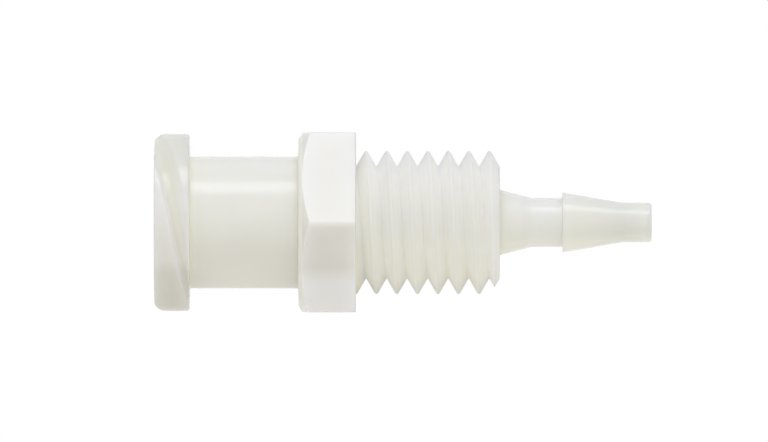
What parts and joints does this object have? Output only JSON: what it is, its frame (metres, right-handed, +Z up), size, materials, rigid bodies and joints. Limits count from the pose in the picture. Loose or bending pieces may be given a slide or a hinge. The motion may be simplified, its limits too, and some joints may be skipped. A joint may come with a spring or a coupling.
{
  "type": "bulkhead luer fitting",
  "caption": "One-piece bulkhead fitting with a female luer lock socket, a hexagon shoulder, a threaded stud for a panel and a hose barb for small tubing.",
  "frame": {"origin": "on the axis, in the hexagon's shoulder face that seats on the panel", "axes": "+X along the axis from the luer face to the barb's tip, +Z up, square to the flat of the hexagon that the fitting lies on"},
  "size_m": [0.022, 0.0092, 0.008],
  "materials": {
    "natural_nylon": "satin moulded natural nylon, milky and slightly translucent"
  },
  "bodies": {
    "root": {"fitting_body": "natural_nylon"}
  },
  "joints": []
}
